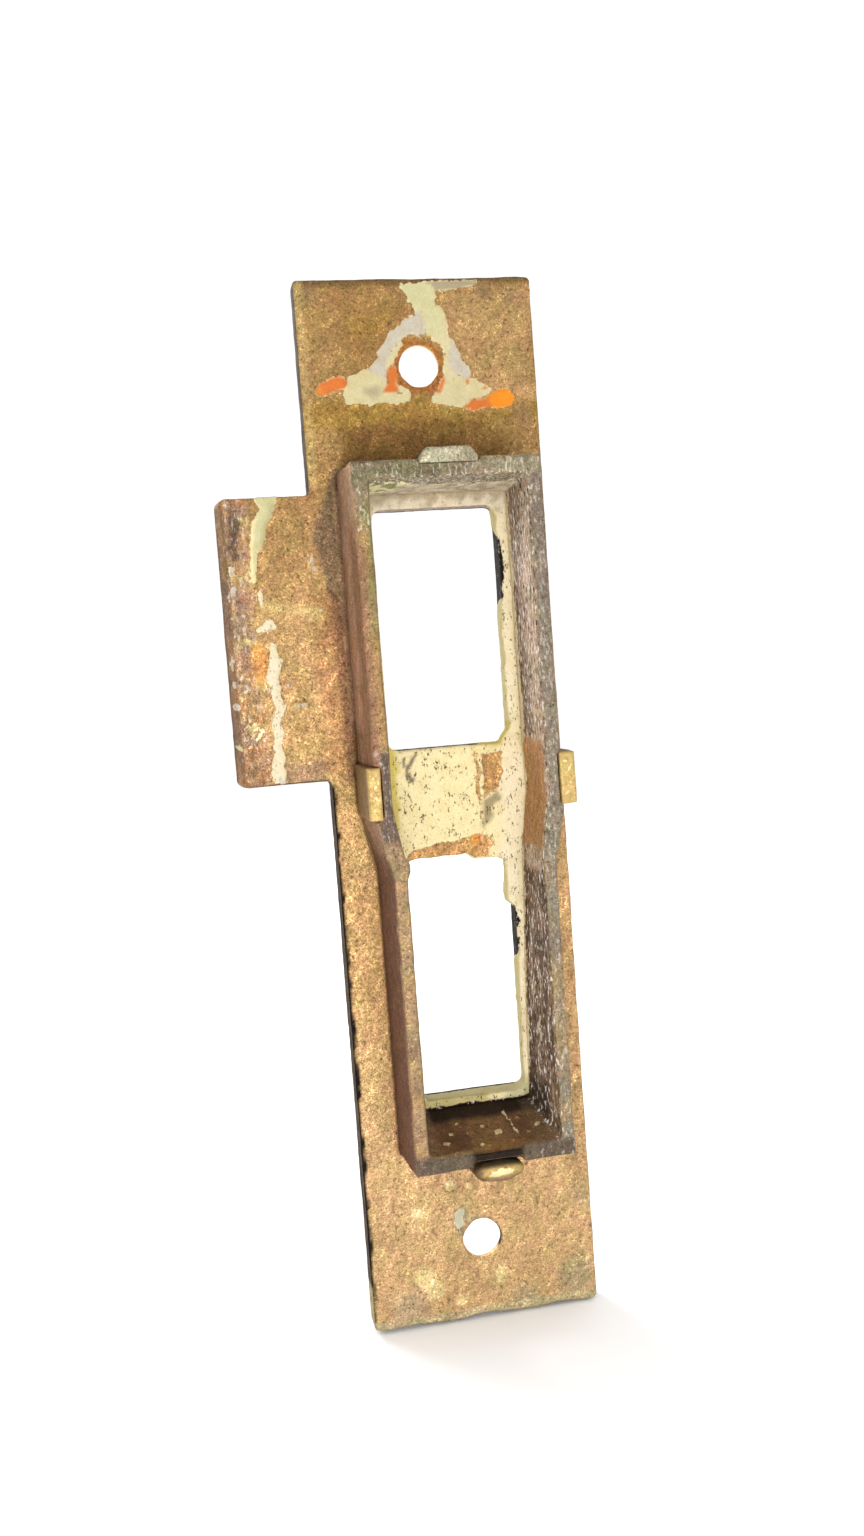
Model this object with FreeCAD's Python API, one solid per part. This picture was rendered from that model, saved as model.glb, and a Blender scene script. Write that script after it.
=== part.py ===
"""Boxed strike of a mortise lock: a brass plate with a lip, a cast frame and four clinched lugs.

Frame: millimetres, +Z up along the plate with the latch opening above the bolt opening. X runs across the
plate, with the lip towards -X. The plate's back face, which seats in the jamb, is the plane Y = 0, and the
frame stands on it towards -Y. The origin is the middle of that face.
"""
import FreeCAD, Part
import math
import os

# Strike plate
plate_width = 28.575
plate_length = 127.0
plate_thickness = 3.175
plate_corner_radius = 0.5

# Lip that guides the latch bolt
lip_reach = 11.4
lip_top = 38.8
lip_height = 33.8
lip_corner_radius = 1.6
lip_curl_width = 4.6
lip_curl_radius = 9.0
lip_edge_round = 0.9

# Screw holes, countersunk from the front
screw_spacing = 106.4
screw_hole_radius = 2.55
screw_land = 1.5
countersink_half_angle = math.radians(41)

# Openings through the plate
box_offset = 0.6
latch_opening_width = 15.1
latch_opening_top = 36.5
latch_opening_bottom = 8.05
bolt_opening_width = 13.1
bolt_opening_top = -5.3
bolt_opening_bottom = -35.0
opening_corner_radius = 0.9

# Cast frame behind the openings
frame_height = 8.75
frame_top = 41.2
frame_bottom = -41.2
frame_draft = 0.45
latch_outer_half = 11.1
bolt_outer_half = 9.75
outer_step_top = 0.2
outer_step_bottom = -6.4
latch_inner_half = 9.05
bolt_inner_half = 7.95
inner_step_top = 2.0
inner_step_bottom = -4.6
inner_top = 39.0
inner_bottom = -39.1
rim_round = 0.35
footing_depth = 0.3

# The frame's inside, where it meets the plate
latch_base_half = 8.8
bolt_base_half_upper = 7.9
bolt_base_half_lower = 6.55
base_top = 38.3
base_bottom = -36.1

# Clinched lugs
lug_width = 6.2
lug_hook_depth = 1.7
tenon_width = 4.4
tenon_share = 0.75
side_lug_height = 3.75
left_lug_outer = -11.3
left_lug_inner = -9.65
right_lug_outer = 13.35
right_lug_inner = 11.3
end_lug_centre = 0.85
top_lug_outer = 42.45
top_lug_inner = 40.6
top_lug_flare = 1.0
bottom_lug_outer = -43.2
bottom_lug_inner = -40.3
bottom_head_rise = 0.6
bottom_head_round = 0.75
lug_edge_round = 0.3

# Derived places
half_width = plate_width / 2
half_length = plate_length / 2
lip_bottom = lip_top - lip_height
lip_end = -half_width - lip_reach
screw_heights = (screw_spacing / 2, -screw_spacing / 2)
rim = -frame_height
cut_margin = 1.0
same_place = 1e-6


def box(low, high):
    """Axis-aligned box between two corners."""
    size = [b - a for a, b in zip(low, high)]
    return Part.makeBox(*size, FreeCAD.Vector(*low))


def edges_along(shape, direction, test):
    """Straight edges parallel to a direction whose middle point passes a test."""
    found = []
    for edge in shape.Edges:
        if edge.Curve.TypeId != "Part::GeomLine":
            continue
        run = edge.Vertexes[1].Point - edge.Vertexes[0].Point
        if abs(abs(run.normalize().dot(direction)) - 1) > same_place:
            continue
        if test(edge.CenterOfMass):
            found.append(edge)
    return found


def rounded_block(low, high, radius):
    """Box whose four edges along Y are rounded."""
    block = box(low, high)
    return block.makeFillet(radius, edges_along(block, FreeCAD.Vector(0, 1, 0), lambda p: True))


def outline(points, y):
    """Closed wire through (x, z) points at one depth."""
    corners = [FreeCAD.Vector(x, y, z) for x, z in points]
    return Part.makePolygon(corners + corners[:1])


def lip_solid():
    """Lip: flat next to the plate, curling towards the back along its outer strip."""
    curl_start = lip_end + lip_curl_width
    turn = math.asin(lip_curl_width / (lip_curl_radius + plate_thickness))

    def on_arc(radius, angle):
        x = curl_start - radius * math.sin(angle)
        y = radius * math.cos(angle) - lip_curl_radius
        return FreeCAD.Vector(x, y, lip_bottom)

    front_radius = lip_curl_radius + plate_thickness
    inner_end = -half_width + cut_margin
    back_start = FreeCAD.Vector(inner_end, 0, lip_bottom)
    front_start = FreeCAD.Vector(inner_end, plate_thickness, lip_bottom)
    back_arc = [on_arc(lip_curl_radius, angle) for angle in (0, turn / 2, turn)]
    front_arc = [on_arc(front_radius, angle) for angle in (turn, turn / 2, 0)]
    edges = [
        Part.makeLine(back_start, back_arc[0]),
        Part.Arc(*back_arc).toShape(),
        Part.makeLine(back_arc[-1], front_arc[0]),
        Part.Arc(*front_arc).toShape(),
        Part.makeLine(front_arc[-1], front_start),
        Part.makeLine(front_start, back_start),
    ]
    lip = Part.Face(Part.Wire(edges)).extrude(FreeCAD.Vector(0, 0, lip_height))
    end_edges = edges_along(lip, FreeCAD.Vector(0, 0, 1), lambda p: p.x < curl_start - lip_curl_width / 2)
    lip = lip.makeFillet(lip_edge_round, end_edges)
    corner_limits = rounded_block(
        (lip_end, -plate_thickness, lip_bottom),
        (inner_end + lip_corner_radius, 2 * plate_thickness, lip_top),
        lip_corner_radius,
    )
    return lip.common(corner_limits)


def screw_hole(height):
    """Straight hole at the back that opens into a countersink at the front."""
    along = FreeCAD.Vector(0, 1, 0)
    straight = Part.makeCylinder(
        screw_hole_radius, plate_thickness + 2 * cut_margin, FreeCAD.Vector(0, -cut_margin, height), along
    )
    depth = plate_thickness - screw_land + cut_margin
    mouth_radius = screw_hole_radius + depth * math.tan(countersink_half_angle)
    cone = Part.makeCone(screw_hole_radius, mouth_radius, depth, FreeCAD.Vector(0, screw_land, height), along)
    return straight.fuse(cone)


def opening(width, bottom, top):
    """Rectangular passage through the plate with rounded corners."""
    return rounded_block(
        (box_offset - width / 2, -cut_margin, bottom),
        (box_offset + width / 2, plate_thickness + cut_margin, top),
        opening_corner_radius,
    )


def tenon(centre, size):
    """Tenon that goes through the plate and ends flush with its front."""
    low = (centre[0] - size[0] / 2, 0, centre[1] - size[1] / 2)
    high = (centre[0] + size[0] / 2, plate_thickness, centre[1] + size[1] / 2)
    return box(low, high)


def strike_plate(frame, lugs):
    """Plate, lip, bridge and screw holes: one casting, with a shallow footing for the frame and lugs."""
    plate = rounded_block(
        (-half_width, 0, -half_length), (half_width, plate_thickness, half_length), plate_corner_radius
    )
    solid = plate.fuse(lip_solid()).removeSplitter()
    for height in screw_heights:
        solid = solid.cut(screw_hole(height))
    solid = solid.cut(opening(latch_opening_width, latch_opening_bottom, latch_opening_top))
    solid = solid.cut(opening(bolt_opening_width, bolt_opening_bottom, bolt_opening_top))
    solid = solid.cut(frame)
    for lug in lugs.values():
        solid = solid.cut(lug["body"])
    return solid.removeSplitter()


def stepped_outline(upper, lower_upper, lower, step_top, step_bottom, top, bottom):
    """Points of the frame's outline: wide above the step, narrower below it."""
    right = [(upper, top), (upper, step_top), (lower_upper, step_bottom), (lower, bottom)]
    left = [(-x, z) for x, z in reversed(right)]
    return [(box_offset + x, z) for x, z in right + left]


def drafted_block(at_base, at_rim):
    """Block from the bottom of the footing to the rim, straight in the footing and drafted above it."""
    footing = Part.Face(outline(at_base, 0)).extrude(FreeCAD.Vector(0, footing_depth, 0))
    drafted = Part.makeLoft([outline(at_base, 0), outline(at_rim, rim)], True, True)
    return drafted.fuse(footing)


def frame_outside():
    """Drafted outside of the frame as one block."""
    at_rim = stepped_outline(
        latch_outer_half, bolt_outer_half, bolt_outer_half, outer_step_top, outer_step_bottom,
        frame_top, frame_bottom,
    )
    at_base = stepped_outline(
        latch_outer_half + frame_draft, bolt_outer_half + frame_draft, bolt_outer_half + frame_draft,
        outer_step_top, outer_step_bottom, frame_top, frame_bottom,
    )
    return drafted_block(at_base, at_rim)


def frame_inside():
    """Space inside the frame, with the sloping bottom end."""
    at_rim = stepped_outline(
        latch_inner_half, bolt_inner_half, bolt_inner_half, inner_step_top, inner_step_bottom,
        inner_top, inner_bottom,
    )
    at_base = stepped_outline(
        latch_base_half, bolt_base_half_upper, bolt_base_half_lower, inner_step_top, inner_step_bottom,
        base_top, base_bottom,
    )
    return drafted_block(at_base, at_rim)


def box_frame(lugs):
    """Open frame with drafted walls, notched where the lugs hold it."""
    frame = frame_outside().cut(frame_inside()).removeSplitter()
    rim_edges = []
    for edge in frame.Edges:
        if all(abs(vertex.Y - rim) < same_place for vertex in edge.Vertexes):
            rim_edges.append(edge)
    frame = frame.makeFillet(rim_round, rim_edges)
    for lug in lugs.values():
        frame = frame.cut(lug["pocket"])
    return frame


def round_head(body, top, radius):
    """Round the edges around a lug's flat top."""
    head_edges = [edge for edge in body.Edges if all(abs(v.Y - top) < same_place for v in edge.Vertexes)]
    return body.makeFillet(radius, head_edges)


def hook_profile(outer, inner, shank_inner, top, hook_bottom):
    """Points of a lug's section: a shank with a head hooked over the frame's wall."""
    return [
        (outer, footing_depth),
        (outer, top),
        (inner, top),
        (inner, hook_bottom),
        (shank_inner, hook_bottom),
        (shank_inner, footing_depth),
    ]


def side_lug(outer, inner, wall):
    """Lug on a side wall, and the pocket that its head and shank take in that wall."""
    bottom = side_lug_height - lug_width / 2

    def prism(section):
        corners = [FreeCAD.Vector(x, y, bottom) for x, y in section]
        return Part.Face(Part.makePolygon(corners + corners[:1])).extrude(FreeCAD.Vector(0, 0, lug_width))

    body = prism(hook_profile(outer, inner, wall, rim, rim + lug_hook_depth))
    body = round_head(body, rim, lug_edge_round)
    shank = abs(outer - wall)
    body = body.fuse(tenon(((outer + wall) / 2, side_lug_height), (tenon_share * shank, tenon_width)))
    pocket = prism(hook_profile(outer, inner, wall, rim - cut_margin, rim + lug_hook_depth))
    return {"body": body.removeSplitter(), "pocket": pocket}


def end_lug(points, top, wall, head_round):
    """Lug on an end wall, with a head of the given outline, and the pocket that the head takes."""
    hook_bottom = rim + lug_hook_depth
    head = Part.Face(outline(points, top)).extrude(FreeCAD.Vector(0, hook_bottom - top, 0))
    outer = points[0][1]
    inner = points[-2][1]
    half = points[2][0] - end_lug_centre
    shank_half = (lug_width - top_lug_flare) / 2
    low_z, high_z = sorted((outer, wall))
    shank_low = (end_lug_centre - shank_half, hook_bottom, low_z)
    shank_high = (end_lug_centre + shank_half, footing_depth, high_z)
    body = head.fuse(box(shank_low, shank_high)).removeSplitter()
    body = round_head(body, top, head_round)
    shank = high_z - low_z
    body = body.fuse(tenon((end_lug_centre, (outer + wall) / 2), (tenon_width, tenon_share * shank)))
    pocket_low_z, pocket_high_z = sorted((inner, wall))
    pocket_low = (end_lug_centre - half, rim - cut_margin, pocket_low_z)
    pocket_high = (end_lug_centre + half, hook_bottom, pocket_high_z)
    pocket = box(pocket_low, pocket_high)
    return {"body": body.removeSplitter(), "pocket": pocket}


def top_lug():
    """Lug at the top end, with a head that widens towards the frame."""
    narrow = (lug_width - top_lug_flare) / 2
    wide = (lug_width + top_lug_flare) / 2
    points = [
        (end_lug_centre - narrow, top_lug_outer),
        (end_lug_centre + narrow, top_lug_outer),
        (end_lug_centre + wide, frame_top),
        (end_lug_centre + wide, top_lug_inner),
        (end_lug_centre - wide, top_lug_inner),
        (end_lug_centre - wide, frame_top),
    ]
    return end_lug(points, rim, frame_top, lug_edge_round)


def bottom_lug():
    """Lug at the bottom end, whose rounded head was hammered over the rim."""
    half = lug_width / 2
    points = [
        (end_lug_centre - half, bottom_lug_outer),
        (end_lug_centre + half, bottom_lug_outer),
        (end_lug_centre + half, bottom_lug_inner),
        (end_lug_centre - half, bottom_lug_inner),
    ]
    return end_lug(points, rim - bottom_head_rise, frame_bottom, bottom_head_round)


def make_lugs():
    """The four lugs by name."""
    left_wall = box_offset - latch_outer_half
    right_wall = box_offset + latch_outer_half
    return {
        "left_clinch_lug": side_lug(left_lug_outer, left_lug_inner, left_wall),
        "right_clinch_lug": side_lug(right_lug_outer, right_lug_inner, right_wall),
        "top_clinch_lug": top_lug(),
        "bottom_clinch_lug": bottom_lug(),
    }


def main():
    lugs = make_lugs()
    frame = box_frame(lugs)
    nodes = {"strike_plate": strike_plate(frame, lugs), "box_frame": frame}
    for name, lug in lugs.items():
        nodes[name] = lug["body"]
    os.makedirs("parts", exist_ok=True)
    for name, shape in nodes.items():
        shape.exportStep(f"parts/{name}.step")
        print(f"{name}: {len(shape.Solids)} solid, valid {shape.isValid()}, {shape.Volume:.1f} mm3")


main()
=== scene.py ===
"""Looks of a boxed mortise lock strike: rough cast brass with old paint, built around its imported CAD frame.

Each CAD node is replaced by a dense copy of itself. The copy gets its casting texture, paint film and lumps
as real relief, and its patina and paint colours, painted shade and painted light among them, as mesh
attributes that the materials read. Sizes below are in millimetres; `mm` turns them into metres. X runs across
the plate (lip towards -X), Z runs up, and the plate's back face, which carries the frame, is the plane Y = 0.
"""
import functools
import math

import bmesh
import bpy
import numpy as np
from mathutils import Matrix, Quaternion, Vector


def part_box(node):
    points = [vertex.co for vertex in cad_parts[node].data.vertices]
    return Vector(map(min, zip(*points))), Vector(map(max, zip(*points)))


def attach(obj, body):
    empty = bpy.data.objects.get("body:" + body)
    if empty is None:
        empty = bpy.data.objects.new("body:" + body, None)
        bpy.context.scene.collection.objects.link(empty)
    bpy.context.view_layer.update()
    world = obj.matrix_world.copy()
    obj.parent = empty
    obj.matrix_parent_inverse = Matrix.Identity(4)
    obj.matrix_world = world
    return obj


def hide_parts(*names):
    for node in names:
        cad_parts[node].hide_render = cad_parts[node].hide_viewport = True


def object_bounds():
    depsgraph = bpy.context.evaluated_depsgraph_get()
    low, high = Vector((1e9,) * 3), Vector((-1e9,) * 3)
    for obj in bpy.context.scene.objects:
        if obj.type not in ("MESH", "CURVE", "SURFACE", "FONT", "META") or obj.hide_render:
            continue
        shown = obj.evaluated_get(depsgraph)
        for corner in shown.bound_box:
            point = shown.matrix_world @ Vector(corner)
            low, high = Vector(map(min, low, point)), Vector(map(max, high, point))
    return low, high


mm = 0.001

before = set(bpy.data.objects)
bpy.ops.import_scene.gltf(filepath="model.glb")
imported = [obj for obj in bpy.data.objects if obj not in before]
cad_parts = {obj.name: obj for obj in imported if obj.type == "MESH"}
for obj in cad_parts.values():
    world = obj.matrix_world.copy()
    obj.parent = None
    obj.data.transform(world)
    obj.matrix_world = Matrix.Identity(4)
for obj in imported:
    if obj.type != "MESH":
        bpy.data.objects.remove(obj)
cad_low, cad_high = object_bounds()

# Mesh density of the dense copies
plate_voxel = 0.31
frame_voxel = 0.29
lug_voxel = 0.15
smooth_rounds = 2

# Relief
cast_grain_depth = 0.05
cast_wave_depth = 0.10
paint_film = 0.13
edge_wander = 0.22

# Places on the part: screw holes above and below the middle, ends of the lip, edges of the two openings
hole_height = 53.2
lip_low = 5.0
lip_high = 38.8
latch_right = 8.15
bolt_right = 7.15
bolt_top = -5.3
bolt_bottom = -35.0

# Hammered mound of the bottom lug: its middle and half width, and how far its corners and edges are
# beaten down
end_lug_middle = 0.85
end_lug_half = 3.1
mound_squeeze = 0.26
mound_fall = 0.9

# How far the worn edge of a screw hole leans in
hole_lip = 0.24

# How far from an opening's edge its lumps fade out
edge_reach = 2.4

# Camera: where it aims, from where, and its lens
aim = Vector((-2.01, 0.0, 5.58)) * mm
camera_distance = 165.04 * mm
camera_azimuth = math.radians(-11.32)
camera_elevation = math.radians(4.255)
camera_roll = math.radians(-4.22)
lens = 32.1
sensor = 36.0

# Half the floor's width in metres, and the strength of the white surroundings
floor_half = 4.0
surroundings = 1.06

# Studio lights, in metres and watts: a near key low in front, and a fill behind
key_place = Vector((-0.014, -0.205, -0.045))
key_size = 0.11
key_power = 0.44
fill_place = Vector((-0.22, 0.42, 0.26))
fill_size = 0.3
fill_power = 1.6

# Old paint is this much brighter than its stored tone, to make up for its dust and specks
paint_gain = 1.27

# Slant of the metal's strokes, and how much its grain changes its brightness
stroke_turn = math.radians(-28)
grain_swing = 0.54

# Light on a surface that faces the key light, and on one that gets only the white surroundings
studio_level = 1.80
shade_level = 0.80


def tone(red, green, blue):
    """Surface colour that looks like this 0-255 screen colour under the studio light."""
    values = np.array((red, green, blue)) / 255
    linear = np.where(values <= 0.04045, values / 12.92, ((values + 0.055) / 1.055) ** 2.4)
    return linear / studio_level


def shaded(red, green, blue):
    """The same for a surface that the key light doesn't reach."""
    return np.minimum(tone(red, green, blue) * studio_level / shade_level, 0.95)


# Metal tones
brass_tan = tone(200, 161, 110)
brass_pale = tone(222, 185, 140)
brass_brown = tone(166, 126, 72)
brass_olive = tone(176, 140, 68)
brass_gold = tone(240, 214, 150)
brass_shine = tone(252, 236, 176)
rust_orange = tone(186, 116, 58)
dark_brown = tone(128, 90, 40)
# Painted shade for the plate's side faces
side_shade = tone(64, 46, 36)
near_black = tone(24, 17, 13)
mauve = tone(158, 130, 106)
grey_tan = tone(180, 154, 122)
grey_green = tone(146, 136, 110)
grey_light = tone(178, 165, 144)
wall_brown = shaded(152, 114, 78)
wall_mauve = shaded(158, 138, 120)
wall_dark = shaded(104, 80, 60)
lug_brass_tone = tone(226, 194, 130)
# Light flecks are 1.4 times brighter than their tone: painted light, so they still read where the key light
# doesn't reach
fleck_light = tone(255, 248, 238) * 1.4
fleck_dark = tone(48, 36, 30)

# Paint tones
cream = tone(250, 234, 182)
cream_old = tone(220, 207, 162)
cream_green = tone(212, 206, 160)
cream_yellow = tone(222, 202, 112)
cream_pink = tone(242, 224, 186)
lilac_grey = tone(206, 196, 178)
stain_grey = tone(176, 162, 132)
primer_orange = tone(228, 138, 64)
primer_red = tone(222, 124, 60)
primer_bright = tone(250, 152, 42)


# ---- numbers

def lattice_noise(points, cell, seed):
    """Smooth noise in -1..1 at (n, 3) points: random values on a cubic lattice, blended between its nodes."""
    table = np.random.default_rng(seed).uniform(-1, 1, 8192)
    scaled = np.asarray(points, float) / cell
    base = np.floor(scaled).astype(np.int64)
    part = scaled - base
    part = part * part * (3 - 2 * part)
    total = np.zeros(len(scaled))
    for corner in np.ndindex(2, 2, 2):
        node = base + corner
        key = node[:, 0] * 73856093 ^ node[:, 1] * 19349663 ^ node[:, 2] * 83492791
        weight = np.prod(np.where(corner, part, 1 - part), axis=1)
        total += weight * table[key % len(table)]
    return total


def layered_noise(points, cell, seed, octaves):
    """Sum of lattice noises, each half the size and half the strength of the one before."""
    total = np.zeros(len(points))
    for octave in range(octaves):
        total += lattice_noise(points, cell / 2**octave, seed + octave) / 2**octave
    return total


def ramp(values, low, high):
    """Smooth step from 0 at low to 1 at high."""
    share = np.clip((values - low) / (high - low), 0, 1)
    return share * share * (3 - 2 * share)


# ---- shapes as distances, positive inside

def stroke(x, z, points, radii):
    """Distance inside a brush stroke through points, each with its own radius."""
    points = np.array(points, float)
    radii = np.broadcast_to(radii, len(points)).astype(float)
    best = np.full(len(x), -np.inf)
    for start, end, r0, r1 in zip(points[:-1], points[1:], radii[:-1], radii[1:]):
        run = end - start
        share = ((x - start[0]) * run[0] + (z - start[1]) * run[1]) / (run @ run)
        share = np.clip(share, 0, 1)
        gap = np.hypot(x - start[0] - share * run[0], z - start[1] - share * run[1])
        best = np.maximum(best, r0 + share * (r1 - r0) - gap)
    return best


def dot(x, z, dot_x, dot_z, radius):
    """Distance inside a round dot."""
    return radius - np.hypot(x - dot_x, z - dot_z)


def patch(x, z, points):
    """Distance inside a closed outline through points."""
    points = np.array(points, float)
    covered = np.zeros(len(x), bool)
    gap = np.full(len(x), np.inf)
    for (x0, z0), (x1, z1) in zip(points, np.roll(points, -1, axis=0)):
        run = np.array((x1 - x0, z1 - z0))
        share = np.clip(((x - x0) * run[0] + (z - z0) * run[1]) / (run @ run), 0, 1)
        gap = np.minimum(gap, np.hypot(x - x0 - share * run[0], z - z0 - share * run[1]))
        if z0 != z1:
            crosses = ((z0 > z) != (z1 > z)) & (x < (x1 - x0) * (z - z0) / (z1 - z0) + x0)
            covered ^= crosses
    return np.where(covered, gap, -gap)


def band(values, low, high):
    """Distance inside a range of one coordinate."""
    return (high - low) / 2 - np.abs(values - (low + high) / 2)


def block(x, z, x_range, z_range):
    """Distance inside a rectangle."""
    return np.minimum(band(x, *x_range), band(z, *z_range))


def any_of(*distances):
    """Distance inside at least one of the shapes."""
    return np.maximum.reduce(distances)


def all_of(*distances):
    """Distance inside all of the shapes at once."""
    return np.minimum.reduce(distances)


def inside(shape):
    """Distance inside a shape. A list stands for the space inside all of its shapes."""
    return all_of(*shape) if isinstance(shape, list) else shape


def blend(colours, shape, colour, softness, strength):
    """Turns the colours inside a shape towards one colour, with a soft edge."""
    share = ramp(inside(shape), -softness, softness) * strength
    colours += (colour - colours) * share[:, None]


# ---- dense copies

def dense_copy(node, name, voxel, rounds=smooth_rounds):
    """Closed mesh of small even squares in the shape of a CAD node."""
    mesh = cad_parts[node].data.copy()
    mesh.materials.clear()
    welded = bmesh.new()
    welded.from_mesh(mesh)
    bmesh.ops.remove_doubles(welded, verts=welded.verts, dist=0.001 * mm)
    welded.to_mesh(mesh)
    welded.free()
    piece = bpy.data.objects.new(name, mesh)
    bpy.context.scene.collection.objects.link(piece)
    remesh = piece.modifiers.new("dense", "REMESH")
    remesh.mode = "VOXEL"
    remesh.voxel_size = voxel * mm
    remesh.use_smooth_shade = True
    smooth = piece.modifiers.new("soften", "SMOOTH")
    smooth.factor = 0.5
    smooth.iterations = rounds
    seen = piece.evaluated_get(bpy.context.evaluated_depsgraph_get())
    dense = bpy.data.meshes.new_from_object(seen)
    piece.modifiers.clear()
    piece.data = dense
    dense.name = name
    bpy.data.meshes.remove(mesh)
    return piece


class Skin:
    """Points, normals and colours of a dense copy, in millimetres, while its relief and patina are made."""

    def __init__(self, piece, node):
        self.mesh = piece.data
        count = len(self.mesh.vertices)
        flat = np.zeros(count * 3)
        self.mesh.vertices.foreach_get("co", flat)
        self.points = flat.reshape(-1, 3) / mm
        self.mesh.vertices.foreach_get("normal", flat)
        self.normals = flat.reshape(-1, 3).copy()
        low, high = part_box(node)
        self.low = np.array(low) / mm
        self.high = np.array(high) / mm
        self.x, self.y, self.z = self.points.T.copy()
        self.offset = np.zeros(count)
        self.shift = np.zeros((count, 3))
        self.metal = np.tile(brass_tan, (count, 1))
        self.paint = np.tile(cream, (count, 1))
        self.paint_edge = np.full(count, -2.0)
        self.bright_edge = np.full(count, -2.0)
        self.fleck = np.zeros(count)

    def noise(self, cell, seed, octaves=3, stretch=(1, 1, 1)):
        """Layered noise on the piece. Its lumps can be stretched along an axis."""
        return layered_noise(self.points / np.array(stretch), cell, seed, octaves)

    def wash(self, shape, colour, softness=0.5, strength=1.0):
        """Tints the metal inside a shape."""
        blend(self.metal, shape, colour, softness, strength)

    def tint(self, shape, colour, softness=0.12, strength=1.0):
        """Changes the paint's colour inside a shape, where there is paint."""
        blend(self.paint, shape, colour, softness, strength)

    def coat(self, shape, colour, softness=0.12):
        """Adds paint of one colour inside a shape."""
        self.tint(shape, colour, softness)
        self.paint_edge = np.maximum(self.paint_edge, inside(shape))

    def bare(self, shape):
        """Takes the paint off inside a shape."""
        self.paint_edge = np.minimum(self.paint_edge, -inside(shape))

    def shine(self, shape):
        """Rubs the metal bright inside a shape."""
        self.bright_edge = np.maximum(self.bright_edge, inside(shape))

    def speckle(self, shape, strength, softness=0.6):
        """Adds light and dark flecks of old plaster and dirt inside a shape."""
        self.fleck = np.maximum(self.fleck, ramp(inside(shape), -softness, softness) * strength)

    def clean(self, shape, low, high, strength=1.0):
        """Takes flecks off, from none at a distance of low inside the shape to all at high."""
        self.fleck *= 1 - strength * ramp(shape, low, high)

    def finish(self):
        """Moves the points, keeps them inside the node's box, and stores the attributes."""
        film = paint_film * ramp(self.paint_edge, -0.1, 0.25)
        moved = self.points + self.shift + self.normals * (self.offset + film)[:, None]
        moved = np.clip(moved, self.low, self.high)
        self.mesh.vertices.foreach_set("co", (moved * mm).ravel().astype(np.float32))
        self.mesh.update()
        store_colour(self.mesh, "metal_colour", self.metal)
        store_colour(self.mesh, "paint_colour", self.paint)
        store_value(self.mesh, "paint_edge", self.paint_edge)
        store_value(self.mesh, "bright_edge", self.bright_edge)
        store_value(self.mesh, "fleck", self.fleck)


def store_value(mesh, name, values):
    """Stores one number for each vertex."""
    attribute = mesh.attributes.new(name, "FLOAT", "POINT")
    attribute.data.foreach_set("value", np.clip(values, -2, 2).astype(np.float32))


def store_colour(mesh, name, colours):
    """Stores one colour for each vertex."""
    attribute = mesh.attributes.new(name, "FLOAT_COLOR", "POINT")
    with_alpha = np.column_stack((np.clip(colours, 0, 1), np.ones(len(colours))))
    attribute.data.foreach_set("color", with_alpha.ravel().astype(np.float32))


def cast_relief(skin, seed):
    """Sandy casting texture and slow waves, cut into the surface."""
    grain = skin.noise(0.75, seed, 2)
    waves = skin.noise(4.0, seed + 10, 2)
    skin.offset += cast_grain_depth * (grain - 1) / 2 + cast_wave_depth * (waves - 1) / 2


# ---- strike plate

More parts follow.
